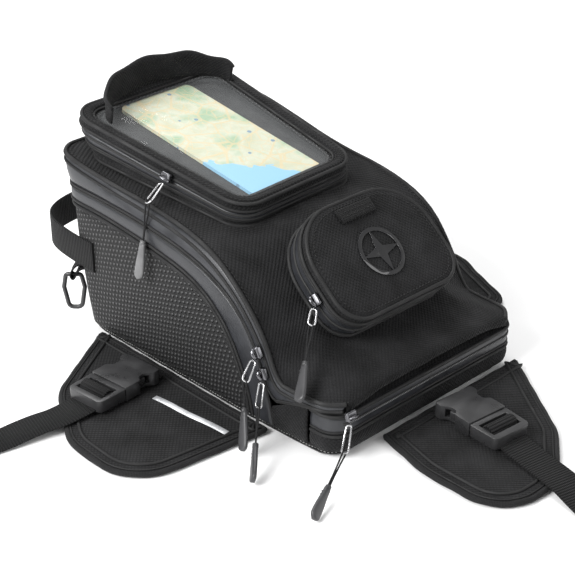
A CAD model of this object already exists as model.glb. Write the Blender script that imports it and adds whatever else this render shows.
"""Looks of the soft motorcycle tank bag: cloth, zips, window, buckles, webbing and the stage.

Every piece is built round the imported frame, in metres, +Z up and +Y towards the handlebars.
"""
import math

import bmesh
import bpy
from mathutils import Matrix, Vector, noise


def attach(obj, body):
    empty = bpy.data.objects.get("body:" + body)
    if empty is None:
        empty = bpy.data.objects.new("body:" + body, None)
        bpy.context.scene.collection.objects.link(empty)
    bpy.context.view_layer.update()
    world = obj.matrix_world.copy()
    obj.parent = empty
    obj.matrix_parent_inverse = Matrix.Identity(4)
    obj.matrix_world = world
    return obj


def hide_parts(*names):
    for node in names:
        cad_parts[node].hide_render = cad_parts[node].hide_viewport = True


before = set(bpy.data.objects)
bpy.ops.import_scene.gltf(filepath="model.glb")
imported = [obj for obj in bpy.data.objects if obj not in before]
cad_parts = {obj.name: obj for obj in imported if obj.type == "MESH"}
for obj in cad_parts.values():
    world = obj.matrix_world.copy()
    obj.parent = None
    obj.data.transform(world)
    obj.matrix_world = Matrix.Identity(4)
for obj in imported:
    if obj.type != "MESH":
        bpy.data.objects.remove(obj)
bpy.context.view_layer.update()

bl_info = {
    "name": "Tank bag",
    "version": (1, 0, 0),
    "blender": (4, 5, 0),
    "location": "View3D > Sidebar > Tank bag",
    "description": "Builds a soft motorcycle tank bag with pockets, flaps, buckles and webbing",
    "category": "Object",
}

MM = 0.001

# Body, in millimetres: coil line of the main zip, sewn deck edge above it, middle of the deck,
# and the lower edge of the zip band, from the front corner to the rear
ZIP_LINE = ((77, 169.5, 118), (88, 166.5, 118), (96, 158.5, 118), (99, 147.5, 118), (99, 118, 118),
            (99, 64, 115), (99, 10, 107), (99, -28, 90), (99, -51, 62), (99, -64, 26),
            (98, -80, 31), (97, -98, 35.8), (95.5, -111, 36), (86, -121, 36))
DECK_SIDE = ((77, 174, 142), (88, 171, 142), (96, 163, 141), (98, 152, 139.5), (96, 117, 134),
             (90, 60, 125.5), (93, 5, 118.5), (98, -31, 102), (97, -56, 73), (98, -70, 43),
             (97.5, -84, 42), (96.5, -101, 42.5), (94.5, -113, 43), (84, -121.5, 43))
DECK_MIDDLE = ((0, 174, 142), (0, 171, 142), (0, 163, 141), (0, 152, 140), (0, 117, 135),
               (0, 60, 127), (0, 5, 119.5), (0, -23, 114), (0, -50, 91), (0, -78, 66.5),
               (0, -92, 57), (0, -106, 52), (0, -121, 48))
BAND_UPPER = ZIP_LINE[:10] + ((99, -68, 8),)
BAND_LOWER = ((77, 166.8, 103), (88, 163.8, 103), (96, 156, 103), (99, 145, 103), (99, 117, 103),
              (99, 66, 98), (99, 17, 90), (99, -9, 75), (99, -27, 53), (99, -40, 22), (99, -43, 8))
FLOOR_LINE = 6.6                    # lower edge of the walls
FRONT_LEAN = 0.19

POCKET_YAW = math.radians(4)
POCKET_REAR_Y = 6 * MM
POCKET_LENGTH = 170 * MM
POCKET_HALF_REAR = 62 * MM
POCKET_HALF_FRONT = 77 * MM
RIM_REAR_Z = 137 * MM
RIM_SLOPE = 0.2125
RIM_DEPTH = 9 * MM
VISOR_HALF = 64 * MM
VISOR_BASE = 136 * MM
VISOR_REACH = 31 * MM

SLOPE = math.radians(41)
ROUND_FOOT = Vector((0, -55 * MM, 89.5 * MM))
ROUND_COVER_MID = 21.45 * MM        # height of the cover's middle off the slope

PULLS = {
    # slider, bend, end of the grip, outward direction and zip direction, in millimetres
    "map": ((-76, 68, 144.6), (-97.5, 63, 133.5), (-110.5, 62, 77), (-1, 0, 0.2), (-0.16, 0.97, 0.21)),
    "left_a": ((-102.5, -55, 62), (-113, -54, 44), (-136, -76, 8), (-1, 0, 0), (0, 0.5, 0.87)),
    "left_b": ((-103, -61, 48), (-112, -66, 28), (-152, -103, 5), (-1, 0, 0), (0, 0.42, 0.9)),
    "round": ((-63.2, -71, 94), (-70, -74, 79), (-108, -101, 46), (-1, -0.15, 0.15), (0, 0.75, 0.66)),
    "rear": ((-84, -125.5, 36), (-95, -131, 15), (-150, -157, 4), (0, -1, 0.3), (1, 0, 0)),
}
FLAPS = {
    "left": ((-99.5, 128, 3), (-178, 78, 50), (-211, 20, 50), (-212, -50, 40), (-99.5, -64, 3)),
    "right": ((99.5, -66, 3), (168, -61, 20), (189, -14, 26), (208, 22, 40), (176, 78, 50),
              (99.5, 128, 3)),
    "rear": ((100, -123, 2), (-50, -123, 2), (-62, -170, 60), (-62, -240, 34), (-5, -241, 46),
             (42, -205, 50)),
}
BUCKLES = {
    "left": ((-120.5, 49, 4.6), (-0.995, -0.1, 0)),
    "right": ((112, 45, 4.6), (0.98, -0.2, 0)),
    "rear": ((8, -137, 4.6), (-0.1, -0.995, 0)),
}
STRAPS = {
    # lying stretch, roll centre and the roll's axis, in millimetres
    "left": (((-188, 43.8, 7.8), (-199, 46, 6), (-212, 49.4, 5.6), (-226, 52.5, 4), (-240, 55.6, 1.7),
              (-256, 59, 1.1), (-272, 62.6, 1.1)), (-282, 65, 17.4), (0.22, 0.975, 0)),
    "rear": (((0.5, -208, 7.8), (-1.5, -219, 6), (-4, -232, 5.8), (-7, -246, 5.5), (-10, -259, 2.6),
              (-13, -271, 1.1), (-16, -283, 1.1)), (-18.5, -293, 17.4), (0.98, -0.2, 0)),
}


# Vectors and outlines

def mm(point):
    return Vector(point) * MM


def chaikin(points, rounds=3):
    """Cuts the corners of a line, keeping its ends."""
    for _ in range(rounds):
        finer = [points[0]]
        for a, b in zip(points, points[1:]):
            finer += [a.lerp(b, 0.25), a.lerp(b, 0.75)]
        finer.append(points[-1])
        points = finer
    return points


def mirrored(point):
    return Vector((-point.x, point.y, point.z))


def smooth_step(t):
    t = min(max(t, 0), 1)
    return t * t * (3 - 2 * t)


def fillet(corners, steps=6):
    """Outline points from (u, v, radius) corners, each rounded by an arc."""
    points = []
    for i, (u, v, radius) in enumerate(corners):
        here = Vector((u, v))
        before = (Vector(corners[i - 1][:2]) - here).normalized()
        after = (Vector(corners[(i + 1) % len(corners)][:2]) - here).normalized()
        half = before.angle(after) / 2
        start = here + before * radius / math.tan(half)
        end = here + after * radius / math.tan(half)
        centre = here + (before + after).normalized() * radius / math.sin(half)
        for k in range(steps + 1):
            spoke = (start - centre).slerp(end - centre, k / steps).normalized()
            points.append(centre + spoke * radius)
    return points


def resample(points, count, closed=False):
    """Evenly spaced points on a line; a closed line doesn't repeat its first point."""
    line = list(points) + ([points[0]] if closed else [])
    reach = [0.0]
    for a, b in zip(line, line[1:]):
        reach.append(reach[-1] + (b - a).length)
    spans = count if closed else count - 1
    made = []
    i = 0
    for k in range(count):
        want = reach[-1] * k / spans
        while i < len(line) - 2 and reach[i + 1] < want:
            i += 1
        step = reach[i + 1] - reach[i]
        made.append(line[i].lerp(line[i + 1], min((want - reach[i]) / step, 1) if step else 0))
    return made


def outward_normals(outline):
    """Unit normals of a closed flat outline, away from its middle."""
    middle = sum(outline, Vector((0, 0))) / len(outline)
    normals = []
    for i, point in enumerate(outline):
        run = outline[(i + 1) % len(outline)] - outline[i - 1]
        normal = Vector((run.y, -run.x)).normalized()
        normals.append(normal if normal.dot(point - middle) > 0 else -normal)
    return normals


def grown(outline, amount):
    return [p + n * amount for p, n in zip(outline, outward_normals(outline))]


# Meshes

def finish_mesh(name, shape, mat, smooth=True):
    """Links a mesh as an object with its material."""
    mesh = bpy.data.meshes.new(name)
    shape.to_mesh(mesh)
    shape.free()
    for face in mesh.polygons:
        face.use_smooth = smooth
    mesh.materials.append(mat)
    obj = bpy.data.objects.new(name, mesh)
    bpy.context.scene.collection.objects.link(obj)
    return obj


def lengths(points):
    made = [0.0]
    for a, b in zip(points, points[1:]):
        made.append(made[-1] + (b - a).length)
    return made


def surface(name, grid, mat, inside, thickness=0.0, closed=False, flat_uv=None):
    """A sheet through rows of points. Its outer face looks away from the point inside."""
    shape = bmesh.new()
    layer = shape.loops.layers.uv.new("UVMap")
    verts = [[shape.verts.new(point) for point in row] for row in grid]
    columns = len(grid[0])
    spans = columns if closed else columns - 1
    across = [lengths(row + [row[0]]) if closed else lengths(row) for row in grid]
    along = lengths([row[columns // 2] for row in grid])
    for i in range(len(grid) - 1):
        for j in range(spans):
            k = (j + 1) % columns
            face = shape.faces.new((verts[i][j], verts[i][k], verts[i + 1][k], verts[i + 1][j]))
            corners = ((i, j), (i, j + 1), (i + 1, j + 1), (i + 1, j))
            for loop, (row, column) in zip(face.loops, corners):
                if flat_uv:
                    loop[layer].uv = flat_uv(loop.vert.co)
                else:
                    centred = across[row][column] - across[row][-1] / 2
                    loop[layer].uv = (centred, along[row])
    shape.normal_update()
    if sum(face.normal.dot(face.calc_center_median() - inside) for face in shape.faces) < 0:
        bmesh.ops.reverse_faces(shape, faces=shape.faces)
    obj = finish_mesh(name, shape, mat)
    if thickness:
        skin = obj.modifiers.new("skin", "SOLIDIFY")
        skin.thickness = thickness
        skin.offset = -1
    return obj


def travel_frames(path, up=None, closed=False):
    """Side and up vectors along a path, turning as little as they can, or kept near one up."""
    count = len(path)
    frames = []
    last = up or (Vector((0, 0, 1)) if abs((path[1] - path[0]).normalized().z) < 0.9 else Vector((1, 0, 0)))
    for i in range(count):
        ahead = path[(i + 1) % count] if closed else path[min(i + 1, count - 1)]
        behind = path[i - 1] if closed else path[max(i - 1, 0)]
        run = (ahead - behind).normalized()
        wanted = up if up else last
        side = run.cross(wanted).normalized()
        lift = side.cross(run).normalized()
        frames.append((side, lift))
        last = lift
    return frames


def sweep(name, path, section, mat, up=None, frames=None, closed=False, scale=None, smooth=True):
    """A closed section of (side, up) points carried along a path."""
    frames = frames or travel_frames(path, up, closed)
    shape = bmesh.new()
    layer = shape.loops.layers.uv.new("UVMap")
    rings = []
    for i, (point, (side, lift)) in enumerate(zip(path, frames)):
        wide, high = scale(i / (len(path) - 1)) if scale else (1, 1)
        rings.append([shape.verts.new(point + side * a * wide + lift * b * high) for a, b in section])
    along = lengths(list(path) + ([path[0]] if closed else []))
    ring_vectors = [Vector(p) for p in section]
    around = lengths(ring_vectors + [ring_vectors[0]])
    count = len(section)
    for i in range(len(path) if closed else len(path) - 1):
        low, high = rings[i], rings[(i + 1) % len(rings)]
        for j in range(count):
            k = (j + 1) % count
            face = shape.faces.new((low[j], low[k], high[k], high[j]))
            for loop, (u, v) in zip(face.loops, ((around[j], along[i]), (around[j + 1], along[i]),
                                                 (around[j + 1], along[i + 1]), (around[j], along[i + 1]))):
                loop[layer].uv = (u, v)
    if not closed:
        for ring in (rings[0], rings[-1]):
            face = shape.faces.new(ring)
            for loop, (a, b) in zip(face.loops, section):
                loop[layer].uv = (a, b)
    bmesh.ops.recalc_face_normals(shape, faces=shape.faces)
    return finish_mesh(name, shape, mat, smooth)


def circle(radius, sides=8, flat=1.0):
    return [(radius * math.cos(2 * math.pi * k / sides), radius * flat * math.sin(2 * math.pi * k / sides))
            for k in range(sides)]


def tape(width, thickness):
    """Section of a flat webbing: a rectangle with small rounded edges."""
    w, t = width / 2, thickness / 2
    c = min(t * 0.8, 0.8 * MM)
    return [(-w, -t + c), (-w + c, -t), (w - c, -t), (w, -t + c), (w, t - c), (w - c, t), (-w + c, t),
            (-w, t - c)]


def tube(name, path, radius, mat, closed=False, sides=8):
    return sweep(name, path, circle(radius, sides), mat, closed=closed)


def pad(name, outline, place, thickness, puff, mat):
    """A quilted slab: rounded at its edge, raised in the middle, flat below."""
    outline = resample(outline, 120, closed=True)
    middle = sum(outline, Vector((0, 0))) / len(outline)
    half = thickness / 2
    rings = [(0.02, half + puff), (0.25, half + puff * 0.95), (0.5, half + puff * 0.78),
             (0.7, half + puff * 0.5), (0.82, half + puff * 0.26), (0.91, half + puff * 0.08),
             (0.955, half * 0.92), (0.985, half * 0.6), (1.0, 0), (0.99, -half * 0.7), (0.965, -half),
             (0.5, -half), (0.02, -half)]
    grid = []
    for reach, height in rings:
        grid.append([place @ Vector((*middle.lerp(point, reach), height)) for point in outline])
    inverse = place.inverted()
    obj = surface(name, grid, mat, place @ Vector((*middle, 0)), closed=True,
                  flat_uv=lambda co: (inverse @ co).xy)
    shape = bmesh.new()
    shape.from_mesh(obj.data)
    bmesh.ops.holes_fill(shape, edges=[e for e in shape.edges if e.is_boundary])
    shape.to_mesh(obj.data)
    shape.free()
    return obj


def stitches(name, path, mat, lift, pitch=3.2 * MM, closed=False, radius=0.28 * MM):
    """A run of short thread dashes along a path, raised by lift."""
    total = lengths(list(path) + ([path[0]] if closed else []))[-1]
    count = max(int(total / pitch), 2)
    marks = resample(path, count * 2, closed=closed)
    shape = bmesh.new()
    for i in range(0, len(marks) - 1, 2):
        a, b = marks[i], marks[i + 1]
        run = (b - a).normalized()
        side = run.cross(lift).normalized() * radius
        rise = lift.normalized() * radius
        low = [shape.verts.new(a + side * x + rise * y) for x, y in ((-1, 0), (0, -1), (1, 0), (0, 1))]
        high = [shape.verts.new(b + side * x + rise * y) for x, y in ((-1, 0), (0, -1), (1, 0), (0, 1))]
        for j in range(4):
            shape.faces.new((low[j], low[(j + 1) % 4], high[(j + 1) % 4], high[j]))
        shape.faces.new(low)
        shape.faces.new(high)
    bmesh.ops.recalc_face_normals(shape, faces=shape.faces)
    return finish_mesh(name, shape, mat)


def softened(name, node, mat, width, segments=2):
    """A copy of a moulded piece with its edges rounded."""
    source = bpy.data.objects[node]
    shape = bmesh.new()
    shape.from_mesh(source.data)
    bmesh.ops.remove_doubles(shape, verts=shape.verts, dist=1e-6)
    bmesh.ops.dissolve_limit(shape, angle_limit=math.radians(4), verts=shape.verts, edges=shape.edges)
    obj = finish_mesh(name, shape, mat, smooth=False)
    obj.matrix_world = source.matrix_world
    edge = obj.modifiers.new("edge", "BEVEL")
    edge.width = width
    edge.segments = segments
    edge.limit_method = "ANGLE"
    edge.angle_limit = math.radians(35)
    edge.harden_normals = True
    for face in obj.data.polygons:
        face.use_smooth = True
    return obj


def frame_at(origin, along, up):
    """A frame with +Y along a direction and +Z near another."""
    y_axis = Vector(along).normalized()
    x_axis = y_axis.cross(Vector(up)).normalized()
    z_axis = x_axis.cross(y_axis)
    return Matrix.Translation(origin) @ Matrix((x_axis, y_axis, z_axis)).transposed().to_4x4()


def settle(piece, body, nodes=()):
    """Declares what a piece rides on, its finish and the nodes that it stands for."""
    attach(piece, body)
    if nodes:
        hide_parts(*nodes)
    return piece


# Shader node groups

def group(name, inputs, outputs):
    tree = bpy.data.node_groups.new(name, "ShaderNodeTree")
    for label, kind, value in inputs:
        socket = tree.interface.new_socket(name=label, in_out="INPUT", socket_type=kind)
        if value is not None:
            socket.default_value = value
    for label, kind in outputs:
        tree.interface.new_socket(name=label, in_out="OUTPUT", socket_type=kind)
    return tree, tree.nodes.new("NodeGroupInput"), tree.nodes.new("NodeGroupOutput")


def math_node(tree, operation, a, b=None):
    node = tree.nodes.new("ShaderNodeMath")
    node.operation = operation
    for index, value in enumerate((a, b)):
        if value is None:
            continue
        if isinstance(value, (int, float)):
            node.inputs[index].default_value = value
        else:
            tree.links.new(value, node.inputs[index])
    return node.outputs[0]


def noise_node(tree, vector, scale, detail=3.0):
    node = tree.nodes.new("ShaderNodeTexNoise")
    node.inputs["Scale"].default_value = scale
    node.inputs["Detail"].default_value = detail
    tree.links.new(vector, node.inputs["Vector"])
    return node.outputs["Fac"]


def split(tree, vector):
    node = tree.nodes.new("ShaderNodeSeparateXYZ")
    tree.links.new(vector, node.inputs[0])
    return node.outputs


def build_weave_group():
    """Plain weave: over and under threads on two directions, with uneven yarn."""
    tree, given, out = group("Plain weave", [("Vector", "NodeSocketVector", None),
                                             ("Threads per metre", "NodeSocketFloat", 900.0),
                                             ("Unevenness", "NodeSocketFloat", 0.6)],
                             [("Height", "NodeSocketFloat"), ("Variation", "NodeSocketFloat")])
    x, y, _ = split(tree, given.outputs["Vector"])
    turns = math_node(tree, "MULTIPLY", given.outputs["Threads per metre"], math.pi)
    wave_x = math_node(tree, "SINE", math_node(tree, "MULTIPLY", x, turns))
    wave_y = math_node(tree, "SINE", math_node(tree, "MULTIPLY", y, turns))
    weave = math_node(tree, "MULTIPLY", wave_x, wave_y)
    yarn = noise_node(tree, given.outputs["Vector"], 1400.0, 2.0)
    uneven = math_node(tree, "MULTIPLY", yarn, given.outputs["Unevenness"])
    height = math_node(tree, "ADD", math_node(tree, "MULTIPLY", weave, 0.5), uneven)
    broad = noise_node(tree, given.outputs["Vector"], 45.0, 4.0)
    mixed = math_node(tree, "ADD", math_node(tree, "MULTIPLY", broad, 0.6),
                      math_node(tree, "MULTIPLY", yarn, 0.4))
    tree.links.new(height, out.inputs["Height"])
    tree.links.new(mixed, out.inputs["Variation"])
    return tree


def build_rib_group():
    """Ribs across a webbing or binding, with fine yarn along it."""
    tree, given, out = group("Ribbed yarn", [("Vector", "NodeSocketVector", None),
                                             ("Ribs per metre", "NodeSocketFloat", 700.0)],
                             [("Height", "NodeSocketFloat"), ("Variation", "NodeSocketFloat")])
    x, y, _ = split(tree, given.outputs["Vector"])
    turns = math_node(tree, "MULTIPLY", given.outputs["Ribs per metre"], math.pi)
    rib = math_node(tree, "ABSOLUTE", math_node(tree, "SINE", math_node(tree, "MULTIPLY", y, turns)))
    yarn = math_node(tree, "SINE", math_node(tree, "MULTIPLY", x, 5200.0))
    height = math_node(tree, "ADD", rib, math_node(tree, "MULTIPLY", yarn, 0.18))
    uneven = noise_node(tree, given.outputs["Vector"], 260.0)
    tree.links.new(height, out.inputs["Height"])
    tree.links.new(math_node(tree, "ADD", math_node(tree, "MULTIPLY", rib, 0.5),
                             math_node(tree, "MULTIPLY", uneven, 0.5)), out.inputs["Variation"])
    return tree


def build_dot_group():
    """Rows of embossed dots on a hexagonal net."""
    tree, given, out = group("Embossed dots", [("Vector", "NodeSocketVector", None),
                                               ("Pitch", "NodeSocketFloat", 0.0034)],
                             [("Height", "NodeSocketFloat"), ("Dots", "NodeSocketFloat")])
    x, y, _ = split(tree, given.outputs["Vector"])
    waves = []
    for degrees in (15, 75, 135):
        angle = math.radians(degrees)
        line = math_node(tree, "ADD", math_node(tree, "MULTIPLY", x, math.cos(angle)),
                         math_node(tree, "MULTIPLY", y, math.sin(angle)))
        phase = math_node(tree, "DIVIDE", math_node(tree, "MULTIPLY", line, 2 * math.pi * 1.155),
                          given.outputs["Pitch"])
        waves.append(math_node(tree, "COSINE", phase))
    total = math_node(tree, "ADD", math_node(tree, "ADD", waves[0], waves[1]), waves[2])
    spread = tree.nodes.new("ShaderNodeMapRange")
    spread.inputs["From Min"].default_value = -0.6
    spread.inputs["From Max"].default_value = 2.4
    tree.links.new(total, spread.inputs["Value"])
    dots = math_node(tree, "POWER", spread.outputs["Result"], 2.2)
    tree.links.new(spread.outputs["Result"], out.inputs["Height"])
    tree.links.new(dots, out.inputs["Dots"])
    return tree


def build_grain_group():
    """Moulded or coated grain with faint scuffs."""
    tree, given, out = group("Moulded grain", [("Vector", "NodeSocketVector", None),
                                               ("Scale", "NodeSocketFloat", 900.0)],
                             [("Height", "NodeSocketFloat"), ("Scuffs", "NodeSocketFloat")])
    fine = tree.nodes.new("ShaderNodeTexNoise")
    fine.inputs["Detail"].default_value = 4.0
    tree.links.new(given.outputs["Vector"], fine.inputs["Vector"])
    tree.links.new(given.outputs["Scale"], fine.inputs["Scale"])
    tree.links.new(fine.outputs["Fac"], out.inputs["Height"])
    tree.links.new(noise_node(tree, given.outputs["Vector"], 70.0, 5.0), out.inputs["Scuffs"])
    return tree


# Materials

class Kit:
    """The node groups and materials, made once."""
    groups = {}
    mats = {}


def new_material(name, roughness, **sockets):
    mat = bpy.data.materials.new(name)
    mat.use_nodes = True
    shader = mat.node_tree.nodes["Principled BSDF"]
    shader.inputs["Roughness"].default_value = roughness
    for label, value in sockets.items():
        shader.inputs[label.replace("_", " ")].default_value = value
    Kit.mats[name] = mat
    return mat, mat.node_tree, shader


def coordinates(tree, kind="UV"):
    return tree.nodes.new("ShaderNodeTexCoord").outputs[kind]


def place_group(tree, name, vector, **values):
    node = tree.nodes.new("ShaderNodeGroup")
    node.node_tree = Kit.groups[name]
    tree.links.new(vector, node.inputs["Vector"])
    for label, value in values.items():
        node.inputs[label.replace("_", " ")].default_value = value
    return node.outputs


def ramp(tree, factor, stops, low=0.0, high=1.0):
    """Colour stops spread between two factor values."""
    node = tree.nodes.new("ShaderNodeValToRGB")
    elements = node.color_ramp.elements
    while len(elements) < len(stops):
        elements.new(0.5)
    for i, (element, colour) in enumerate(zip(elements, stops)):
        element.position = low + (high - low) * i / (len(stops) - 1)
        element.color = (*colour, 1.0)
    tree.links.new(factor, node.inputs["Fac"])
    return node.outputs["Color"]


def bump(tree, shader, height, distance, strength=1.0):
    node = tree.nodes.new("ShaderNodeBump")
    node.inputs["Distance"].default_value = distance
    node.inputs["Strength"].default_value = strength
    tree.links.new(height, node.inputs["Height"])
    tree.links.new(node.outputs["Normal"], shader.inputs["Normal"])


def shade(colour, low, high):
    return [tuple(c * k for c in colour) for k in (low, high)]


def woven(name, colour, threads, roughness, depth):
    mat, tree, shader = new_material(name, roughness, Sheen_Weight=0.04, Sheen_Roughness=0.4,
                                     Specular_IOR_Level=0.22)
    weave = place_group(tree, "weave", coordinates(tree), Threads_per_metre=threads)
    tree.links.new(ramp(tree, weave["Variation"], shade(colour, 0.3, 2.4), 0.34, 0.66),
                   shader.inputs["Base Color"])
    bump(tree, shader, weave["Height"], depth)
    return mat


def ribbed(name, colour, ribs, roughness, depth):
    mat, tree, shader = new_material(name, roughness, Sheen_Weight=0.03, Sheen_Roughness=0.4,
                                     Specular_IOR_Level=0.25)
    rib = place_group(tree, "rib", coordinates(tree), Ribs_per_metre=ribs)
    tree.links.new(ramp(tree, rib["Variation"], shade(colour, 0.45, 1.7), 0.25, 0.75),
                   shader.inputs["Base Color"])
    bump(tree, shader, rib["Height"], depth)
    return mat


def moulded(name, colour, roughness, scale, depth, metallic=0.0, coat=0.0):
    mat, tree, shader = new_material(name, roughness, Metallic=metallic, Coat_Weight=coat)
    grain = place_group(tree, "grain", coordinates(tree, "Object"), Scale=scale)
    tree.links.new(ramp(tree, grain["Scuffs"], shade(colour, 0.8, 1.3), 0.35, 0.65),
                   shader.inputs["Base Color"])
    tree.links.new(ramp(tree, grain["Scuffs"], [(roughness * 0.85,) * 3, (min(roughness * 1.2, 1),) * 3],
                        0.35, 0.65), shader.inputs["Roughness"])
    bump(tree, shader, grain["Height"], depth)
    return mat


def build_mesh_material(colour):
    mat, tree, shader = new_material("embossed mesh", 0.55, Sheen_Weight=0.02, Specular_IOR_Level=0.45)
    dots = place_group(tree, "dots", coordinates(tree), Pitch=0.0042)
    bright = tuple(c * 5 + 0.05 for c in colour)
    tree.links.new(ramp(tree, dots["Dots"], [colour, tuple(c * 1.5 for c in colour), bright]),
                   shader.inputs["Base Color"])
    tree.links.new(ramp(tree, dots["Dots"], [(0.7,) * 3, (0.36,) * 3]), shader.inputs["Roughness"])
    bump(tree, shader, dots["Height"], 0.0011)
    return mat


def build_card_material():
    """Printed map card: land, parks, water, roads and place dots."""
    mat, tree, shader = new_material("printed map card", 0.35, Coat_Weight=0.2)
    where = coordinates(tree, "Object")
    x, y, _ = split(tree, where)
    land = ramp(tree, noise_node(tree, where, 42.0, 5.0),
                [(0.50, 0.52, 0.36), (0.58, 0.60, 0.47), (0.32, 0.46, 0.29)], 0.38, 0.66)
    shore = math_node(tree, "ADD", math_node(tree, "MULTIPLY", y, 0.78), math_node(tree, "MULTIPLY", x, 0.62))
    inlets = math_node(tree, "MULTIPLY", noise_node(tree, where, 60.0, 6.0), 0.03)
    ragged = math_node(tree, "ADD", shore, inlets)
    wet = math_node(tree, "LESS_THAN", ragged, 0.046)
    roads = None
    for scale, width in ((42.0, 0.035), (110.0, 0.03)):
        cells = tree.nodes.new("ShaderNodeTexVoronoi")
        cells.feature = "DISTANCE_TO_EDGE"
        cells.inputs["Scale"].default_value = scale
        tree.links.new(where, cells.inputs["Vector"])
        line = math_node(tree, "LESS_THAN", cells.outputs["Distance"], width)
        roads = line if roads is None else math_node(tree, "MAXIMUM", roads, line)
    towns = tree.nodes.new("ShaderNodeTexVoronoi")
    towns.inputs["Scale"].default_value = 62.0
    tree.links.new(where, towns.inputs["Vector"])
    town = math_node(tree, "LESS_THAN", towns.outputs["Distance"], 0.11)
    paint = land
    for mask, colour, amount in ((roads, (0.66, 0.52, 0.28), 0.65), (wet, (0.25, 0.52, 0.72), 1.0),
                                 (town, (0.12, 0.24, 0.36), 0.9)):
        mix = tree.nodes.new("ShaderNodeMix")
        mix.data_type = "RGBA"
        tree.links.new(math_node(tree, "MULTIPLY", mask, amount), mix.inputs[0])
        tree.links.new(paint, mix.inputs[6])
        mix.inputs[7].default_value = (*colour, 1)
        paint = mix.outputs[2]
    tree.links.new(paint, shader.inputs["Base Color"])
    grain = place_group(tree, "grain", where, Scale=1500.0)
    bump(tree, shader, grain["Height"], 0.00002)
    return mat


def build_film_material():
    mat, tree, shader = new_material("clear film", 0.06, IOR=1.46, Alpha=0.07, Coat_Weight=0.0)
    shader.inputs["Base Color"].default_value = (0.55, 0.57, 0.58, 1)
    ripple = noise_node(tree, coordinates(tree, "Object"), 20.0, 2.5)
    bump(tree, shader, ripple, 0.003)
    return mat


def build_kit(look):
    for name, maker in (("weave", build_weave_group), ("rib", build_rib_group), ("dots", build_dot_group),
                        ("grain", build_grain_group)):
        Kit.groups[name] = maker()
    cloth = tuple(look.cloth_colour)
    woven("oxford cloth", cloth, 620.0, 0.85, 0.0006)
    ribbed("webbing", tuple(look.webbing_colour), 480.0, 0.75, 0.0009)
    ribbed("grosgrain binding", tuple(c * 1.15 for c in cloth), 1000.0, 0.75, 0.0003)
    moulded("piping cloth", tuple(c * 0.6 for c in cloth), 0.7, 1800.0, 0.0002)
    moulded("coated zip tape", tuple(look.tape_colour), 0.36, 1500.0, 0.00008)
    moulded("acetal plastic", (0.026, 0.026, 0.027), 0.3, 2200.0, 0.00004)
    moulded("moulded rubber", (0.035, 0.035, 0.037), 0.42, 1600.0, 0.00006)
    moulded("pale rubber", (0.12, 0.12, 0.122), 0.4, 1600.0, 0.00006)
    moulded("gunmetal", (0.16, 0.16, 0.17), 0.26, 900.0, 0.00002, metallic=1.0)
    moulded("bright wire", (0.6, 0.6, 0.61), 0.2, 900.0, 0.00002, metallic=1.0)
    moulded("gloss emblem", (0.008, 0.008, 0.009), 0.14, 900.0, 0.00001, coat=0.6)
    moulded("silver tape", (0.62, 0.63, 0.65), 0.32, 1400.0, 0.00005, metallic=0.25)
    moulded("dark backing", (0.004, 0.004, 0.004), 0.8, 1500.0, 0.00005)
    moulded("dark thread", (0.012, 0.012, 0.012), 0.7, 2000.0, 0.00005)
    moulded("pale thread", (0.3, 0.3, 0.29), 0.7, 2000.0, 0.00005)
    moulded("zip coil", (0.13, 0.13, 0.135), 0.35, 2000.0, 0.00003)
    build_mesh_material(tuple(look.mesh_colour))
    build_card_material()
    build_film_material()


# The bag's body

ORIGIN_INSIDE = Vector((0, 20 * MM, 60 * MM))


def around(line, rounds=2):
    """A line on the right side carried round the front to the left, from rear left to rear right."""
    side = [mm(point) for point in line]
    return chaikin([mirrored(point) for point in reversed(side)] + side, rounds)


def turned_down(point, height):
    """The same place on the leaning front or upright side wall, lower down."""
    start = 122 * MM
    share = min(max((point.y - start) / (147 * MM + FRONT_LEAN * point.z - start), 0), 1)
    y = point.y if share == 0 else start + share * (25 * MM + FRONT_LEAN * height)
    return Vector((point.x, y, height))


def push(point, amount):
    """Moves a point of the walls outwards, level."""
    out = Vector((point.x / 99, (point.y - 20 * MM) / 150 if point.y > 120 * MM else 0, 0))
    return point + out.normalized() * amount


def wrinkle(point, size, scale):
    return noise.fractal(point * scale, 1.0, 2.0, 3) * size


def band_rows(low, high, count, bulge):
    """Rows between two index-matched lines, bulging outwards between them."""
    rows = []
    for k in range(count + 1):
        t = k / count
        rows.append([push(a.lerp(b, t), bulge * math.sin(math.pi * t)) for a, b in zip(low, high)])
    return rows


def build_lid_deck():
    side = around(DECK_SIDE)
    middle = resample(chaikin([mm(p) for p in DECK_MIDDLE], 2), 60)
    edge = resample(side[len(side) // 2:], 60)
    rows = []
    for i in range(60):
        row = []
        for k in range(61):
            s = -1 + 2 * k / 60
            drop = max(abs(s) - 0.62, 0) / 0.38
            x = s * edge[i].x
            y = middle[i].y + (edge[i].y - middle[i].y) * abs(s)
            z = middle[i].z + (edge[i].z - middle[i].z) * drop
            point = Vector((x, y, z))
            hump = 1 - abs(s) ** 6
            point.z += wrinkle(point, 2.0 * MM, 20) * hump
            point.z += 1.6 * MM * (1 - s * s) * math.sin(math.pi * i / 59)
            row.append(point)
        rows.append(row)
    last = rows[-1]
    for back, drop in ((0.6, 1.2), (1.0, 3.4), (1.0, 6.0)):
        rows.append([Vector((p.x, p.y - back * MM, p.z - drop * MM)) for p in last])
    deck = surface("lid_deck", rows, Kit.mats["oxford cloth"], ORIGIN_INSIDE, 1.6 * MM)
    settle(deck, "lid", ("lid_panel",))
    return side


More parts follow.
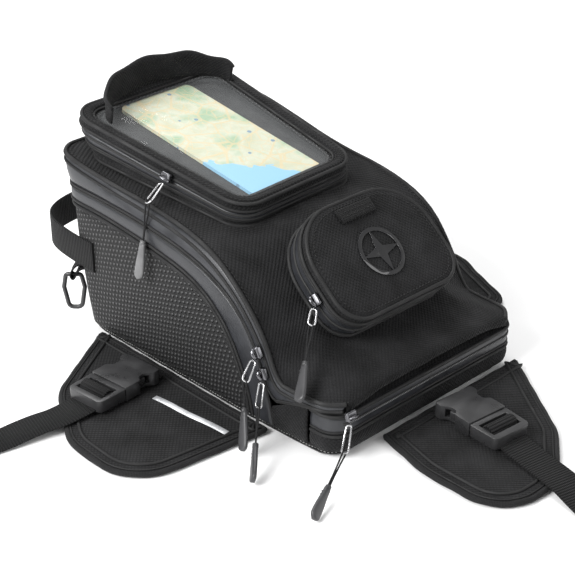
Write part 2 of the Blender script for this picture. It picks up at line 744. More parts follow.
def build_lid():
    """The zipped lid: cloth deck, upper zip band and the piping round its edge."""
    deck_edge = build_lid_deck()
    zip_line = around(ZIP_LINE)
    low = [push(p, 0.3 * MM) + Vector((0, 0, 1.1 * MM)) for p in zip_line]
    band = surface("zip_band_upper", band_rows(low, deck_edge, 5, 1.6 * MM), Kit.mats["coated zip tape"],
                   ORIGIN_INSIDE, 1.2 * MM)
    settle(band, "lid")
    for label, drop, lift, radius in (("edge", 0, 0.3, 1.7), ("band", 5, 1.2, 1.3)):
        path = [push(a + (b - a).normalized() * drop * MM, lift * MM) for a, b in zip(deck_edge, low)]
        piping = tube(f"lid_piping_{label}", path, radius * MM, Kit.mats["piping cloth"])
        settle(piping, "lid")
    rim = tube("zip_tape_upper", [push(p, 0.5 * MM) + Vector((0, 0, 1.2 * MM)) for p in zip_line],
               0.9 * MM, Kit.mats["piping cloth"])
    settle(rim, "lid")
    inward = [p + Vector((-p.x * 0.03, -2.4 * MM if p.y > 120 * MM else 0, 0)) for p in deck_edge]
    seam = stitches("deck_stitching", [p + Vector((0, 0, 0.5 * MM)) for p in inward],
                    Kit.mats["dark thread"], Vector((0, 0, 1)))
    settle(seam, "lid")


def build_walls():
    """Lower zip band, mesh walls and their seams, from rear left round the front to rear right."""
    band_top = around(BAND_UPPER)
    band_low = around(BAND_LOWER)
    top = [p - Vector((0, 0, 0.9 * MM)) for p in band_top]
    band = surface("zip_band_lower", band_rows(band_low, top, 5, 1.4 * MM), Kit.mats["coated zip tape"],
                   ORIGIN_INSIDE, 1.2 * MM)
    settle(band, "bag")
    wall_rows = []
    for k in range(13):
        row = []
        for p in band_low:
            height = p.z + (FLOOR_LINE * MM - p.z) * k / 12
            point = turned_down(p, height)
            puff = 1.8 * MM * math.sin(math.pi * k / 12) if p.z > 30 * MM else 0
            row.append(push(point, puff + wrinkle(point, 0.8 * MM, 22) * math.sin(math.pi * k / 12)))
        wall_rows.append(row)
    walls = surface("mesh_walls", wall_rows, Kit.mats["embossed mesh"], ORIGIN_INSIDE, 1.4 * MM,
                    flat_uv=lambda co: (co.y + 99 * MM - abs(co.x), co.z))
    settle(walls, "bag", ("side_panel_left", "side_panel_right", "front_panel"))
    above = [a + (b - a).normalized() * 4.2 * MM for a, b in zip(band_low, top)]
    for label, line, lift, radius in (("mesh", band_low, 0.7, 1.5), ("band", above, 1.3, 1.2),
                                      ("zip", top, 0.6, 0.9)):
        path = [push(p, lift * MM) for p in line]
        piping = tube(f"wall_piping_{label}", path, radius * MM, Kit.mats["piping cloth"])
        settle(piping, "bag")
    coil = tube("main_zip_coil", [push(p, -0.5 * MM) for p in around(ZIP_LINE)], 1.1 * MM,
                Kit.mats["dark thread"])
    settle(coil, "bag")


def build_rear_sides():
    """Cloth gussets between the lid's hinge end and the zip band, one on each side."""
    line = [mm(p) for p in ZIP_LINE[9:12]]
    line[0] = mm((99, -66, 24))
    line = resample(chaikin(line, 2), 14)
    for name, sign in (("left", -1), ("right", 1)):
        rows = []
        for k in range(9):
            row = []
            for p in line:
                height = p.z - 1 * MM + (FLOOR_LINE * MM - p.z + 1 * MM) * k / 8
                row.append(push(Vector((sign * (p.x + 0.2 * MM), p.y, height)),
                                0.8 * MM * math.sin(math.pi * k / 8)))
            rows.append(row)
        gusset = surface(f"rear_gusset_{name}", rows, Kit.mats["oxford cloth"],
                         Vector((0, -80 * MM, 20 * MM)), 1.4 * MM)
        settle(gusset, "bag")


def rear_plan():
    """The rear pocket's outline from its left end round the back to the right end."""
    x, y, r = 95 * MM, -122 * MM, 14 * MM
    corner = [(-x, -99.5 * MM)]
    corner += [(-x + r - r * math.cos(a), y + r - r * math.sin(a)) for a in
               [math.pi / 2 * k / 8 for k in range(9)]]
    points = [Vector(p) for p in corner]
    return points + [Vector((-p.x, p.y)) for p in reversed(points)]


def build_rear_pocket():
    """The rear pocket: coated zip band above, cloth below, coil zip between them."""
    outline = resample(rear_plan(), 110)
    normal = Vector((0, -1, 0))

    def row(height, out):
        made = []
        for p in outline:
            away = Vector((p.x if abs(p.x) > 88 * MM else 0, p.y + 99.5 * MM - 0.02, 0)).normalized()
            made.append(Vector((p.x, p.y, height * MM)) + away * out * MM)
        return made

    lower = surface("rear_pocket_cloth", [row(z, 1.6 * math.sin(math.pi * (z - 6.6) / 12.4) + 0.2)
                                          for z in (6.6, 8, 10, 12, 14, 16, 18, 19)],
                    Kit.mats["oxford cloth"], Vector((0, -100 * MM, 20 * MM)), 1.2 * MM)
    settle(lower, "bag", ("rear_pocket",))
    upper_rows = [row(z, 1.0 * math.sin(math.pi * (z - 19) / 15) + 0.2) for z in (19.4, 22, 25, 28, 31, 33.5)]
    upper_rows.append([p + (Vector((0, -100 * MM, 35 * MM)) - p).normalized() * 3 * MM for p in row(35.3, 0)])
    upper = surface("rear_zip_band", upper_rows, Kit.mats["coated zip tape"],
                    Vector((0, -100 * MM, 20 * MM)), 1.2 * MM)
    settle(upper, "bag")
    for label, height, radius, mat in (("top", 34.6, 1.4, "piping cloth"), ("low", 19.2, 1.3, "piping cloth"),
                                       ("inner", 22.2, 0.9, "piping cloth")):
        piping = tube(f"rear_piping_{label}", row(height, 0.9), radius * MM, Kit.mats[mat])
        settle(piping, "bag")
    teeth = stitches("rear_zip_teeth", [p for p in row(28.6, 1.6) if p.x > -84 * MM], Kit.mats["zip coil"],
                     normal, 1.5 * MM, radius=0.75 * MM)
    settle(teeth, "bag")
    slit = tube("rear_zip_slit", [p for p in row(28.6, 0.9) if p.x > -88 * MM], 1.1 * MM,
                Kit.mats["dark thread"])
    settle(slit, "bag")
    top = surface("rear_pocket_top", [row(35, 0), [Vector((p.x, -99.5 * MM, 35.6 * MM)) for p in outline]],
                  Kit.mats["oxford cloth"], Vector((0, -105 * MM, 20 * MM)), 1 * MM)
    settle(top, "bag")


def build_floor_panel():
    """The bag's bottom, its turned seam and the pale edge of the lining behind the seam."""
    outline = [Vector((p.x, p.y)) for p in (turned_down(q, 0) for q in around(BAND_LOWER))]
    rear = [Vector((x * MM, y * MM)) for x, y in ((97, -90), (95, -112), (86, -120.5), (-86, -120.5),
                                                  (-95, -112), (-97, -90))]
    ring = resample([p for p in outline if p.y > -42 * MM] + rear, 160, closed=True)
    base = pad("bottom_panel", [p * 0.985 for p in ring], Matrix.Translation((0, 0, 3.2 * MM)), 5.6 * MM,
               0.2 * MM, Kit.mats["oxford cloth"])
    settle(base, "bag", ("base_panel",))
    seam = tube("bottom_binding", [Vector((*p, 6.2 * MM)) for p in grown(ring, -1.8 * MM)], 1.4 * MM,
                Kit.mats["grosgrain binding"], closed=True)
    settle(seam, "bag")
    wavy = [Vector((*p, (4.6 + 0.5 * math.sin(i * 1.7)) * MM)) for i, p in enumerate(grown(ring, -1.2 * MM))]
    thread = stitches("overlock_thread", wavy, Kit.mats["pale thread"], Vector((0, 0, 1)), 2.6 * MM,
                      closed=True, radius=0.32 * MM)
    settle(thread, "bag")


# The map pocket

def pocket_frame(drop=0.0):
    place = Matrix.Translation((0, POCKET_REAR_Y, RIM_REAR_Z)) @ Matrix.Rotation(POCKET_YAW, 4, "Z")
    return place @ Matrix.Rotation(math.atan(RIM_SLOPE), 4, "X") @ Matrix.Translation((0, 0, -drop))


def pocket_outline(inset, radius):
    rear, front, length = POCKET_HALF_REAR, POCKET_HALF_FRONT, POCKET_LENGTH
    corners = [(-rear + inset, inset, radius), (rear - inset, inset, radius),
               (front - inset, length - inset, radius), (-front + inset, length - inset, radius)]
    return resample(fillet(corners, 8), 150, closed=True)


def deck_height(y):
    return 119.5 * MM + 0.138 * (y - 5 * MM)


def build_map_pocket():
    """Window pocket: walls with a zip round them, thick padded rim and the clear window."""
    place = pocket_frame()
    outline = pocket_outline(0.4 * MM, 21 * MM)
    top = [place @ Vector((*p, -RIM_DEPTH)) for p in outline]
    foot = [Vector((p.x * 0.985, 6 * MM + (p.y - 6 * MM) * 0.9, deck_height(p.y) - 1 * MM)) for p in top]
    centre = sum(top, Vector()) / len(top)

    def level(share, out):
        row = []
        for a, b in zip(top, foot):
            point = a.lerp(b, share)
            away = Vector((point.x - centre.x, point.y - centre.y, 0)).normalized()
            row.append(point + away * out * MM)
        return row

    upper = [level(t, 1.4 * math.sin(math.pi * t / 0.55) + 0.2) for t in (0, 0.1, 0.2, 0.3, 0.4, 0.5, 0.55)]
    lower = [level(t, 1.0 * math.sin(math.pi * (t - 0.55) / 0.45) + 0.2)
             for t in (0.55, 0.65, 0.75, 0.85, 0.95, 1)]
    band = surface("map_zip_band", upper, Kit.mats["coated zip tape"], centre, 1.2 * MM, closed=True)
    settle(band, "lid")
    wall = surface("map_pocket_wall", lower, Kit.mats["oxford cloth"], centre, 1.2 * MM, closed=True)
    settle(wall, "lid", ("map_pocket_body",))
    for label, share, out, radius, mat in (("foot", 0.98, 0.8, 1.6, "piping cloth"),
                                           ("wall", 0.55, 0.9, 1.4, "piping cloth"),
                                           ("band", 0.45, 1.6, 1.0, "piping cloth"),
                                           ("zip", 0.18, 1.1, 0.9, "dark thread")):
        piping = tube(f"map_piping_{label}", level(share, out), radius * MM, Kit.mats[mat], closed=True)
        settle(piping, "lid")
    build_window_rim(place)


def build_window_rim(place):
    """Padded cloth rim, its two pipings and the mesh border inside it."""
    section = [(0, -8.6), (-0.2, -6.5), (0.1, -4), (0.9, -1.7), (2.6, -0.2), (4.5, 0.5), (6.6, 0.1),
               (8.2, -1.2), (9, -3), (9.2, -5), (9.2, -8.4)]
    grid = []
    for inset, height in section:
        ring = pocket_outline(inset * MM, (21 - inset * 7 / 9) * MM)
        grid.append([place @ Vector((*p, height * MM + wrinkle(Vector((*p, 0)), 0.35 * MM, 30)))
                     for p in ring])
    middle = place @ Vector((0, POCKET_LENGTH / 2, -40 * MM))
    rim = surface("window_rim", grid, Kit.mats["oxford cloth"], middle, closed=True)
    face = place @ Vector((0, 4.5 * MM, 20 * MM))
    nearest = min(rim.data.polygons, key=lambda f: (f.center - face).length)
    if nearest.normal.dot(face - nearest.center) < 0:
        rim.data.flip_normals()
    settle(rim, "window", ("window_frame",))
    for label, inset, height, radius in (("outer", 0.5, -1.6, 1.5), ("skirt", 0.1, -7.6, 1.4),
                                         ("inner", 9.3, -2.2, 1.1)):
        ring = pocket_outline(inset * MM, (21 - inset * 0.8) * MM)
        path = [place @ Vector((*p, height * MM)) for p in ring]
        piping = tube(f"rim_piping_{label}", path, radius * MM, Kit.mats["piping cloth"], closed=True)
        settle(piping, "window")
    border = []
    for inset, height in ((8.6, -2.7), (13.6, -3.2)):
        ring = pocket_outline(inset * MM, (21 - inset * 0.8) * MM)
        border.append([place @ Vector((*p, height * MM)) for p in ring])
    mesh = surface("window_border", border, Kit.mats["embossed mesh"], middle, 0.3 * MM, closed=True)
    settle(mesh, "window")
    for label, inset in (("outer", 3.2), ("inner", 7.2)):
        path = [place @ Vector((*p, 0.55 * MM if label == "outer" else 0.1 * MM))
                for p in pocket_outline(inset * MM, 17 * MM)]
        seam = stitches(f"rim_stitching_{label}", path, Kit.mats["dark thread"], Vector((0, 0, 1)),
                        closed=True)
        settle(seam, "window")
    for node, mat in (("window_film", "clear film"), ("window_backing", "dark backing"),
                      ("map_card", "printed map card")):
        bpy.data.objects[node].material_slots[0].material = Kit.mats[mat]
        for polygon in bpy.data.objects[node].data.polygons:
            polygon.use_smooth = False


def build_visor():
    """Stiffened cloth hood round the window's front edge, with a wavy bound upper edge."""
    place = pocket_frame()
    grid = []
    steps = 60
    for row in range(7):
        share = row / 6
        made = []
        for k in range(steps + 1):
            angle = math.pi * k / steps
            swell = math.sin(angle)
            height = 20 * (0.62 + 0.38 * swell) + 1.1 * math.sin(angle * 9) * share
            flare = 1 + 0.05 * share * swell
            u = -VISOR_HALF * math.cos(angle) * (1 + 0.012 * math.sin(angle * 7) * share)
            v = VISOR_BASE + VISOR_REACH * swell * flare + 3.4 * MM * share * swell
            made.append(place @ Vector((u, v, height * MM * share + 0.4 * MM)))
        grid.append(made)
    hood = surface("visor_hood", grid, Kit.mats["oxford cloth"], place @ Vector((0, 140 * MM, 8 * MM)),
                   1.6 * MM)
    settle(hood, "visor", ("sun_visor",))
    binding = tube("visor_binding", grid[-1], 1.5 * MM, Kit.mats["grosgrain binding"])
    settle(binding, "visor")
    seam = stitches("visor_stitching", grid[5], Kit.mats["dark thread"], Vector((0, -1, 0.3)))
    settle(seam, "visor")


# The round pocket on the slope

def slope_frame(height=0.0):
    place = Matrix.Translation(ROUND_FOOT) @ Matrix.Rotation(SLOPE, 4, "X")
    return place @ Matrix.Translation((0, 0, height))


def round_outline(inset):
    half, low, high = 60 * MM - inset, -40 * MM + inset, 46 * MM - inset
    corners = [(-half, low, 22 * MM - inset * 0.5), (half, low, 22 * MM - inset * 0.5),
               (half, high, 40 * MM - inset * 0.5), (-half, high, 40 * MM - inset * 0.5)]
    return resample(fillet(corners, 8), 130, closed=True)


def build_round_pocket():
    """Round pocket: banded wall, domed cover with two pipings, folded tab and emblem."""
    base = slope_frame()
    inside = base @ Vector((0, 0, 8 * MM))
    rows = [[base @ Vector((*p, height * MM)) for p in round_outline(inset * MM)]
            for height, inset in ((0.2, 1.2), (3, 0.6), (7, 0.3), (11, 0.3), (15, 0.7), (17, 1.2))]
    wall = surface("round_pocket_wall", rows, Kit.mats["coated zip tape"], inside, 1.2 * MM, closed=True)
    settle(wall, "lid", ("round_pocket_body",))
    for label, height, inset, radius, body, mat in (
            ("foot", 0.8, 0.3, 1.5, "lid", "piping cloth"), ("zip", 9.5, 0.1, 1.0, "lid", "dark thread"),
            ("wall", 15.6, 0.5, 1.2, "lid", "piping cloth"),
            ("cover", 18.2, 0.2, 1.5, "round_lid", "piping cloth"),
            ("crown", 24.4, 1.4, 1.5, "round_lid", "piping cloth")):
        path = [base @ Vector((*p, height * MM)) for p in round_outline(inset * MM)]
        piping = tube(f"round_piping_{label}", path, radius * MM, Kit.mats[mat], closed=True)
        settle(piping, body)
    cover = pad("round_pocket_cover", round_outline(0.6 * MM), slope_frame(ROUND_COVER_MID), 8.4 * MM,
                0.5 * MM, Kit.mats["oxford cloth"])
    settle(cover, "round_lid", ("round_pocket_lid",))
    seam = stitches("round_stitching", [base @ Vector((*p, 25.9 * MM)) for p in round_outline(5.4 * MM)],
                    Kit.mats["dark thread"], base.to_3x3() @ Vector((0, 0, 1)), closed=True)
    settle(seam, "round_lid")
    build_pull_tab(base)
    emblem = softened("compass_emblem", "emblem", Kit.mats["gloss emblem"], 0.2 * MM)
    settle(emblem, "round_lid", ("emblem",))


def build_pull_tab(base):
    """A folded tab of webbing sewn down at its lower edge."""
    section = []
    for k in range(9):
        angle = math.pi / 2 + math.pi * k / 8
        section.append((-4.2 * MM + 1.25 * MM * math.cos(angle), 1.25 * MM * math.sin(angle)))
    section += [(5.5 * MM, -1.25 * MM), (5.5 * MM, -0.2 * MM), (3 * MM, 0.3 * MM), (5.3 * MM, 0.5 * MM),
                (5.3 * MM, 1.1 * MM), (3 * MM, 1.3 * MM)]
    place = base @ Matrix.Translation((0, 34 * MM, 27.3 * MM))
    across = place.to_3x3() @ Vector((0, 1, 0))
    lift = place.to_3x3() @ Vector((0, 0, 1))
    path = [place @ Vector((u * MM, 0, 0)) for u in range(-17, 18, 2)]
    tab = sweep("folded_tab", path, section, Kit.mats["webbing"], frames=[(-across, lift)] * len(path))
    settle(tab, "round_lid", ("pull_tab",))
    for v in (-1.6, 1.6):
        line = [place @ Vector((u * MM, v * MM, 1.45 * MM)) for u in range(-15, 16, 2)]
        seam = stitches(f"tab_stitching_{'low' if v < 0 else 'high'}", line, Kit.mats["dark thread"], lift)
        settle(seam, "round_lid")


# Zip pulls

def build_pull(key):
    """Slider with its bridge, wire loop, two-strand cord and knurled paddle."""
    start, bend, end, outward, run = (Vector(value) for value in PULLS[key])
    start, bend, end = start * MM, bend * MM, end * MM
    metal = Kit.mats["gunmetal"]
    slider = softened(f"zip_slider_{key}", f"slider_{key}", metal, 1.1 * MM)
    settle(slider, f"slider_{key}", (f"slider_{key}",))
    place = frame_at(start, run, outward)
    arch = [place @ Vector((0, 3.4 * MM * math.cos(a), 2 * MM + 2.6 * MM * math.sin(a)))
            for a in [math.pi * k / 10 for k in range(11)]]
    bridge = sweep(f"slider_bridge_{key}", arch, tape(2.4 * MM, 0.9 * MM), metal)
    settle(bridge, f"slider_{key}")

    down = (bend - start).normalized()
    place = frame_at(start + down * 6.4 * MM, down, outward)
    length = (bend - start).length - 5.6 * MM
    corners = [(-2.4 * MM, 0, 1.6 * MM), (2.4 * MM, 0, 1.6 * MM), (3.2 * MM, length, 2.6 * MM),
               (-3.2 * MM, length, 2.6 * MM)]
    wire = tube(f"wire_loop_{key}", [place @ Vector((*p, 0)) for p in fillet(corners, 5)], 0.75 * MM,
                Kit.mats["bright wire"], closed=True)
    settle(wire, f"loop_{key}", (f"pull_loop_{key}",))

    hang = (end - bend).normalized()
    place = frame_at(bend, hang, outward)
    total = (end - bend).length
    neck = total - 27 * MM
    rubber = Kit.mats["pale rubber" if key == "map" else "moulded rubber"]
    for label, sign in (("front", 1), ("back", -1)):
        strand = []
        for k in range(15):
            t = k / 14
            sway = 1.25 * sign * math.cos(math.pi * min(t * 1.6, 1) * 0.5) + 0.55 * sign
            strand.append(place @ Vector((sway * MM, (-2.0 * MM) + t * (neck + 3.5 * MM),
                                          0.25 * MM * math.sin(6 * t) * sign)))
        cord = tube(f"pull_strand_{label}_{key}", strand, 0.62 * MM, Kit.mats["grosgrain binding"])
        settle(cord, f"grip_{key}")
    build_paddle(key, place, neck, total, rubber)
    collar = tube(f"paddle_collar_{key}", [place @ Vector((0, neck + v * MM, 0)) for v in (-2.2, -0.6, 0.8)],
                  2.1 * MM, rubber, sides=14)
    settle(collar, f"grip_{key}")


def build_paddle(key, place, neck, total, rubber):
    """Flared rubber grip with raised diamonds on its neck."""
    path = []
    widths = []
    for k in range(19):
        t = k / 18
        path.append(place @ Vector((0, neck + t * (total - neck), 0)))
        end_round = math.sqrt(max(1 - max((t - 0.86) / 0.14, 0) ** 2, 0.02))
        widths.append(((2.7 + 2.0 * smooth_step(t * 1.3)) / 4.7 * end_round, 0.86 + 0.14 * end_round))
    sides = place.to_3x3()
    frames = [(sides @ Vector((1, 0, 0)), sides @ Vector((0, 0, 1)))] * len(path)
    section = [(4.6 * MM * math.copysign(abs(math.cos(a)) ** 0.7, math.cos(a)),
                1.7 * MM * math.copysign(abs(math.sin(a)) ** 0.7, math.sin(a)))
               for a in [2 * math.pi * k / 20 for k in range(20)]]
    paddle = sweep(f"rubber_paddle_{key}", path, section, rubber, frames=frames,
                   scale=lambda t: widths[round(t * 18)])
    settle(paddle, f"grip_{key}", (f"pull_grip_{key}",))
    shape = bmesh.new()
    for row in range(6):
        for column in range(-1, 2):
            for side in (-1, 1):
                shift = 0.85 if row % 2 else 0
                centre = Vector(((column * 1.7 + shift) * MM, neck + (3 + row * 1.35) * MM, side * 1.35 * MM))
                bmesh.ops.create_cone(shape, cap_ends=True, segments=4, radius1=0.8 * MM, radius2=0.15 * MM,
                                      depth=0.7 * MM, matrix=place @ Matrix.Translation(centre)
                                      @ Matrix.Rotation(0 if side > 0 else math.pi, 4, "X"))
    knurl = finish_mesh(f"paddle_knurl_{key}", shape, rubber, smooth=False)
    settle(knurl, f"grip_{key}")


# Flaps, buckles and straps

def build_flap(key):
    """A padded flap with a bound hem, an inset piping and the webbing that carries its buckle."""
    outline = resample(fillet([tuple(v * MM for v in corner) for corner in FLAPS[key]], 10), 150, closed=True)
    lift = Matrix.Translation((0, 0, 2 * MM))
    cloth = pad(f"flap_cloth_{key}", grown(outline, -0.6 * MM), lift, 3.4 * MM, 1.1 * MM,
                Kit.mats["oxford cloth"])
    settle(cloth, f"flap_{key}", (f"flap_{key}",))
    hem = [Vector((*p, (2.1 + 0.25 * math.sin(i * 0.8)) * MM))
           for i, p in enumerate(grown(outline, -2.2 * MM))]
    binding = sweep(f"flap_binding_{key}", hem, circle(2.1 * MM, 10, 0.95), Kit.mats["grosgrain binding"],
                    up=Vector((0, 0, 1)), closed=True)
    settle(binding, f"flap_{key}")
    for label, inset, radius in (("outer", 4.6, 0.55), ("inner", 10.5, 1.2)):
        path = [Vector((*p, (4.0 if label == "outer" else 4.15) * MM)) for p in grown(outline, -inset * MM)]
        line = tube(f"flap_piping_{label}_{key}", path, radius * MM, Kit.mats["piping cloth"], closed=True)
        settle(line, f"flap_{key}")
    if key == "left":
        build_reflector()
    build_buckle(key)


def build_reflector():
    start, end = mm((-133, 21, 5.1)), mm((-126, -49, 5.1))
    path = [start.lerp(end, k / 20) + Vector((0.35 * MM * math.sin(k * 0.5), 0, 0)) for k in range(21)]
    strip = sweep("reflective_strip", path, tape(5 * MM, 0.5 * MM), Kit.mats["silver tape"],
                  up=Vector((0, 0, 1)))
    settle(strip, "flap_left")


def build_buckle(key):
    """Anchor webbing, housing, plug and prongs of a side-release buckle."""
    inner, direction = BUCKLES[key]
    place = frame_at(mm(inner), direction, (0, 0, 1))
    plastic = Kit.mats["acetal plastic"]
    sides = place.to_3x3()
    frames_along = [(sides @ Vector((1, 0, 0)), sides @ Vector((0, 0, 1)))]
    path = [place @ Vector((0, v * MM, (1.0 if v < 12 else 1.4) * MM))
            for v in (-8, -6, -3, 0, 3, 6, 9, 12, 14)]
    anchor = sweep(f"anchor_webbing_{key}", path, tape(25 * MM, 1.9 * MM), Kit.mats["webbing"],
                   frames=frames_along * len(path))
    settle(anchor, f"flap_{key}", (f"buckle_anchor_{key}",))
    box_seam = [place @ Vector((u * MM, v * MM, 2.1 * MM)) for u, v in
                ((-9, -6), (9, -6), (9, -1), (-9, -1), (-9, -6), (9, -1))]
    seam = stitches(f"anchor_stitching_{key}", box_seam, Kit.mats["dark thread"], Vector((0, 0, 1)), 2.4 * MM)
    settle(seam, f"flap_{key}")
    housing = softened(f"buckle_housing_{key}", f"buckle_female_{key}", plastic, 1.3 * MM, 3)
    settle(housing, f"flap_{key}", (f"buckle_female_{key}",))
    if key == "right":
        return
    plug = softened(f"buckle_plug_{key}", f"buckle_male_{key}", plastic, 0.6 * MM)
    settle(plug, f"plug_{key}", (f"buckle_male_{key}",))
    for label in ("front", "back"):
        prong = softened(f"buckle_prong_{label}_{key}", f"prong_{label}_{key}", plastic, 0.5 * MM)
        settle(prong, f"prong_{label}_{key}", (f"prong_{label}_{key}",))
    build_strap(key, place)


def spiral(centre, axis, start, turns_radius, pitch, up):
    """Points of a roll wound from its outside inwards, from the point where the strap meets it."""
    inward = (start - centre)
    inward -= axis * inward.dot(axis)
    across = axis.cross(inward.normalized())
    if across.dot(up) < 0:
        across = -across
    points = []
    angle = 0.0
    radius = turns_radius
    while radius > 4 * MM:
        spoke = inward.normalized() * math.cos(angle) + across * math.sin(angle)
        points.append(centre + spoke * radius)
        angle += math.radians(12)
        radius = turns_radius - pitch * angle / (2 * math.pi)
    return points


def build_strap(key, place):
    """Ribbed webbing from the plug's bar to its rolled-up spare length."""
    stretch, roll_at, roll_axis = STRAPS[key]
    axis = Vector(roll_axis).normalized()
    tail = [place @ Vector((0, v * MM, z * MM)) for v, z in
            ((58, 3.2), (52, 2.6), (45.5, 3.0), (41.5, 6), (41.4, 10), (42.6, 13.3), (45.9, 14.5), (49, 13.6),
             (50.6, 11.2), (50.9, 8), (52.4, 5), (56, 4.6))]
    lying = [mm(p) for p in stretch]
    centre = mm(roll_at)
    bottom = centre - Vector((0, 0, 15 * MM))
    roll = spiral(centre, axis, bottom, 15 * MM, 1.95 * MM, lying[-1] - lying[-2])
    lead = chaikin(tail + lying[1:] + [bottom], 2)
    path = lead[:-1] + roll
    frames = []
    for i in range(len(path)):
        run = (path[min(i + 1, len(path) - 1)] - path[max(i - 1, 0)]).normalized()
        wanted = axis if i >= len(lead) - 6 else place.to_3x3() @ Vector((-1, 0, 0))
        if wanted.dot(axis) < 0:
            wanted = -wanted
        side = (wanted - run * wanted.dot(run)).normalized()
        frames.append((side, side.cross(run).normalized()))
    strap = sweep(f"webbing_strap_{key}", path, tape(25 * MM, 1.5 * MM), Kit.mats["webbing"], frames=frames)
    settle(strap, f"plug_{key}", (f"strap_{key}", f"strap_roll_{key}"))


# Front end

def front_corner(height):
    inset = 22 * (1 - math.sqrt(0.5)) * MM
    return Vector((99 * MM - inset, 147 * MM + FRONT_LEAN * height - inset, height))


def build_handle():
    """Webbing carry handle from one front corner to the other, with its sewn ends."""
    path = [mm((-99.6, 129, 66)), mm((-99.6, 136, 66))]
    for k in range(41):
        angle = math.pi * k / 40
        forward = math.sqrt(max(math.sin(angle), 0))
        x = -99.6 * math.copysign(math.sqrt(abs(math.cos(angle))), math.cos(angle))
        path.append(mm((x, 150 + 60 * forward, 66 + 5 * forward)))
    path += [mm((99.6, 136, 66)), mm((99.6, 129, 66))]
    path = resample(chaikin(path, 2), 90)
    frames = []
    for i in range(len(path)):
        run = (path[min(i + 1, 89)] - path[max(i - 1, 0)]).normalized()
        away = Vector((-run.y, run.x, 0)).normalized()
        frames.append((Vector((0, 0, 1)), away))
    handle = sweep("handle_webbing", [p + f[1] * 1 * MM for p, f in zip(path, frames)],
                   tape(25 * MM, 2 * MM), Kit.mats["webbing"], frames=frames)
    settle(handle, "handle", ("carry_handle",))


def build_d_ring(side, sign):
    """An angular ring in a folded tab of webbing on the front corner."""
    ring = softened(f"corner_ring_{side}", f"d_ring_{side}", Kit.mats["acetal plastic"], 0.3 * MM)
    settle(ring, f"ring_{side}", (f"d_ring_{side}",))
    wall = front_corner(52 * MM)
    wall.x *= sign
    outward = Vector((sign, 1, 0)).normalized()
    across = Vector((0, 0, 1)).cross(outward)
    loop = [wall + outward * (u * MM) + Vector((0, 0, z * MM)) for u, z in
            ((1.5, 0.5), (5, 0.2), (8, -1), (10.6, -4), (13.4, -9.5), (11.2, -13.4), (8.6, -10), (7.4, -6),
             (4, -3.6), (1.5, -3.2))]
    path = chaikin(loop, 2)
    frames = []
    for i in range(len(path)):
        run = (path[min(i + 1, len(path) - 1)] - path[max(i - 1, 0)]).normalized()
        frames.append((across, across.cross(run).normalized()))
    tab = sweep(f"ring_tab_{side}", path, tape(12 * MM, 1.2 * MM), Kit.mats["webbing"], frames=frames)
    settle(tab, "bag", (f"d_ring_{side}_tab",))


# Stage

def area_light(name, energy, size, at, target=(0, 0, 0.06)):
    data = bpy.data.lights.new(name, "AREA")
    data.energy = energy
    data.shape = "RECTANGLE"
    data.size, data.size_y = size
    light = bpy.data.objects.new(name, data)
    bpy.context.scene.collection.objects.link(light)
    light.location = at
    light.rotation_euler = (Vector(target) - Vector(at)).to_track_quat("-Z", "Y").to_euler()


def build_camera():
    data = bpy.data.cameras.new("camera")
    data.sensor_width = 36
    data.lens = 86.8
    data.clip_start = 0.05
    camera = bpy.data.objects.new("camera", data)
    bpy.context.scene.collection.objects.link(camera)
    azimuth, elevation = math.radians(-44), math.radians(28)
    back = Vector((math.sin(azimuth) * math.cos(elevation), -math.cos(azimuth) * math.cos(elevation),
                   math.sin(elevation)))
    target = mm((-20, 1, 60))
    camera.location = target + back * 1.024
    camera.rotation_euler = back.to_track_quat("Z", "Y").to_euler()
    bpy.context.scene.camera = camera


def build_stage(look):
    """Camera, pale floor, soft lights and a white surrounding."""
    build_camera()
    shape = bmesh.new()
    bmesh.ops.create_grid(shape, x_segments=40, y_segments=40, size=6)
    mat, tree, shader = new_material("studio paper", 0.9)
    shader.inputs["Base Color"].default_value = (0.93, 0.93, 0.93, 1)
    bump(tree, shader, noise_node(tree, coordinates(tree, "Object"), 900.0), 0.00002)
    floor = finish_mesh("studio_floor", shape, mat)
    floor.location.z = -0.8 * MM
    world = bpy.data.worlds.new("studio")
    world.use_nodes = True
    world.node_tree.nodes["Background"].inputs["Color"].default_value = (1, 1, 1, 1)
    world.node_tree.nodes["Background"].inputs["Strength"].default_value = look.surround
    scene = bpy.context.scene
    scene.world = world
    scene.view_settings.view_transform = "Standard"
    area_light("key_light", look.key_power * 1.5, (0.9, 0.7), (-1.35, 0.1, 1.0))
    area_light("top_light", look.key_power * 0.8, (1.0, 1.0), (0.35, 0.8, 1.6))
    area_light("fill_light", look.key_power * 0.35, (1.2, 1.0), (0.7, -1.5, 0.9))


# Add-on

class TankBagLook(bpy.types.PropertyGroup):
    """Colours and light of the bag."""
    cloth_colour: bpy.props.FloatVectorProperty(
        name="Cloth colour", description="Colour of the woven cloth", default=(0.0068, 0.0068, 0.0072),
        size=3, subtype="COLOR", min=0, max=1)
    webbing_colour: bpy.props.FloatVectorProperty(
        name="Webbing colour", description="Colour of the ribbed webbing", default=(0.004, 0.004, 0.0043),
        size=3, subtype="COLOR", min=0, max=1)
    tape_colour: bpy.props.FloatVectorProperty(
        name="Zip band colour", description="Colour of the coated bands along the zips",
        default=(0.02, 0.021, 0.024), size=3, subtype="COLOR", min=0, max=1)
    mesh_colour: bpy.props.FloatVectorProperty(
        name="Mesh colour", description="Colour of the embossed mesh walls", default=(0.0025, 0.0025, 0.0028),
        size=3, subtype="COLOR", min=0, max=1)
    key_power: bpy.props.FloatProperty(
        name="Key light", description="Power of the main light", default=24.0, min=0, unit="POWER")
    surround: bpy.props.FloatProperty(
        name="Surround", description="Brightness of the white surrounding", default=0.5, min=0)


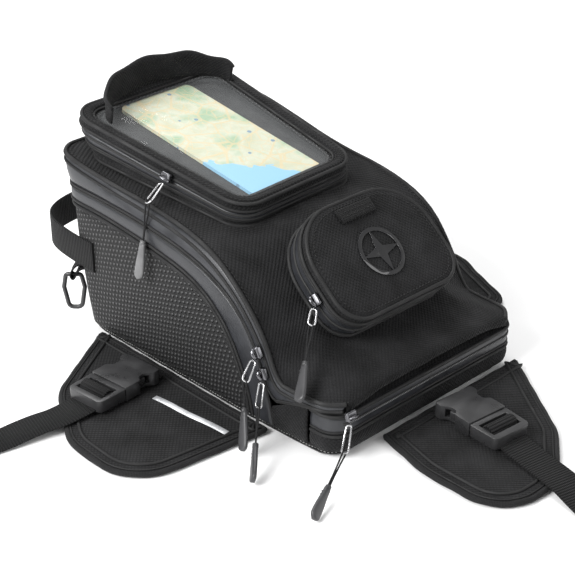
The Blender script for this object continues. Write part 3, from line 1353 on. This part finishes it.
class TANKBAG_OT_stage(bpy.types.Operator):
    """Add the camera, floor and lights"""
    bl_idname = "tankbag.stage"
    bl_label = "Stage"

    def execute(self, context):
        build_stage(context.scene.tank_bag_look)
        return {"FINISHED"}


class TANKBAG_OT_materials(bpy.types.Operator):
    """Make the node groups and materials"""
    bl_idname = "tankbag.materials"
    bl_label = "Materials"

    def execute(self, context):
        build_kit(context.scene.tank_bag_look)
        return {"FINISHED"}


class TANKBAG_OT_flaps(bpy.types.Operator):
    """Add the flaps with their buckles and straps"""
    bl_idname = "tankbag.flaps"
    bl_label = "Flaps, buckles and straps"

    def execute(self, context):
        for key in FLAPS:
            build_flap(key)
        return {"FINISHED"}


class TANKBAG_OT_body(bpy.types.Operator):
    """Add the walls, lid, rear pocket and bottom"""
    bl_idname = "tankbag.body"
    bl_label = "Body"

    def execute(self, context):
        build_lid()
        build_walls()
        build_rear_sides()
        build_rear_pocket()
        build_floor_panel()
        return {"FINISHED"}


class TANKBAG_OT_map_pocket(bpy.types.Operator):
    """Add the window pocket with its visor"""
    bl_idname = "tankbag.map_pocket"
    bl_label = "Map pocket"

    def execute(self, context):
        build_map_pocket()
        build_visor()
        return {"FINISHED"}


class TANKBAG_OT_round_pocket(bpy.types.Operator):
    """Add the round pocket with its tab and emblem"""
    bl_idname = "tankbag.round_pocket"
    bl_label = "Round pocket"

    def execute(self, context):
        build_round_pocket()
        return {"FINISHED"}


class TANKBAG_OT_pulls(bpy.types.Operator):
    """Add the zip sliders with their pulls"""
    bl_idname = "tankbag.pulls"
    bl_label = "Zip pulls"

    def execute(self, context):
        for key in PULLS:
            build_pull(key)
        return {"FINISHED"}


class TANKBAG_OT_front(bpy.types.Operator):
    """Add the carry handle and the corner rings"""
    bl_idname = "tankbag.front"
    bl_label = "Handle and rings"

    def execute(self, context):
        build_handle()
        build_d_ring("left", -1)
        build_d_ring("right", 1)
        return {"FINISHED"}


STEPS = (TANKBAG_OT_stage, TANKBAG_OT_materials, TANKBAG_OT_flaps, TANKBAG_OT_body, TANKBAG_OT_map_pocket,
         TANKBAG_OT_round_pocket, TANKBAG_OT_pulls, TANKBAG_OT_front)


class TANKBAG_PT_panel(bpy.types.Panel):
    """Lists the bag's steps and its look"""
    bl_label = "Tank bag"
    bl_idname = "TANKBAG_PT_panel"
    bl_space_type = "VIEW_3D"
    bl_region_type = "UI"
    bl_category = "Tank bag"

    def draw(self, context):
        look = context.scene.tank_bag_look
        for name in ("cloth_colour", "webbing_colour", "tape_colour", "mesh_colour", "key_power", "surround"):
            self.layout.prop(look, name)
        for step in STEPS:
            self.layout.operator(step.bl_idname)


CLASSES = (TankBagLook, *STEPS, TANKBAG_PT_panel)


def register():
    for cls in CLASSES:
        bpy.utils.register_class(cls)
    bpy.types.Scene.tank_bag_look = bpy.props.PointerProperty(type=TankBagLook)


def unregister():
    del bpy.types.Scene.tank_bag_look
    for cls in reversed(CLASSES):
        bpy.utils.unregister_class(cls)


def main():
    register()
    for step in STEPS:
        area, name = step.bl_idname.split(".")
        getattr(getattr(bpy.ops, area), name)()


if __name__ == "__main__":
    main()
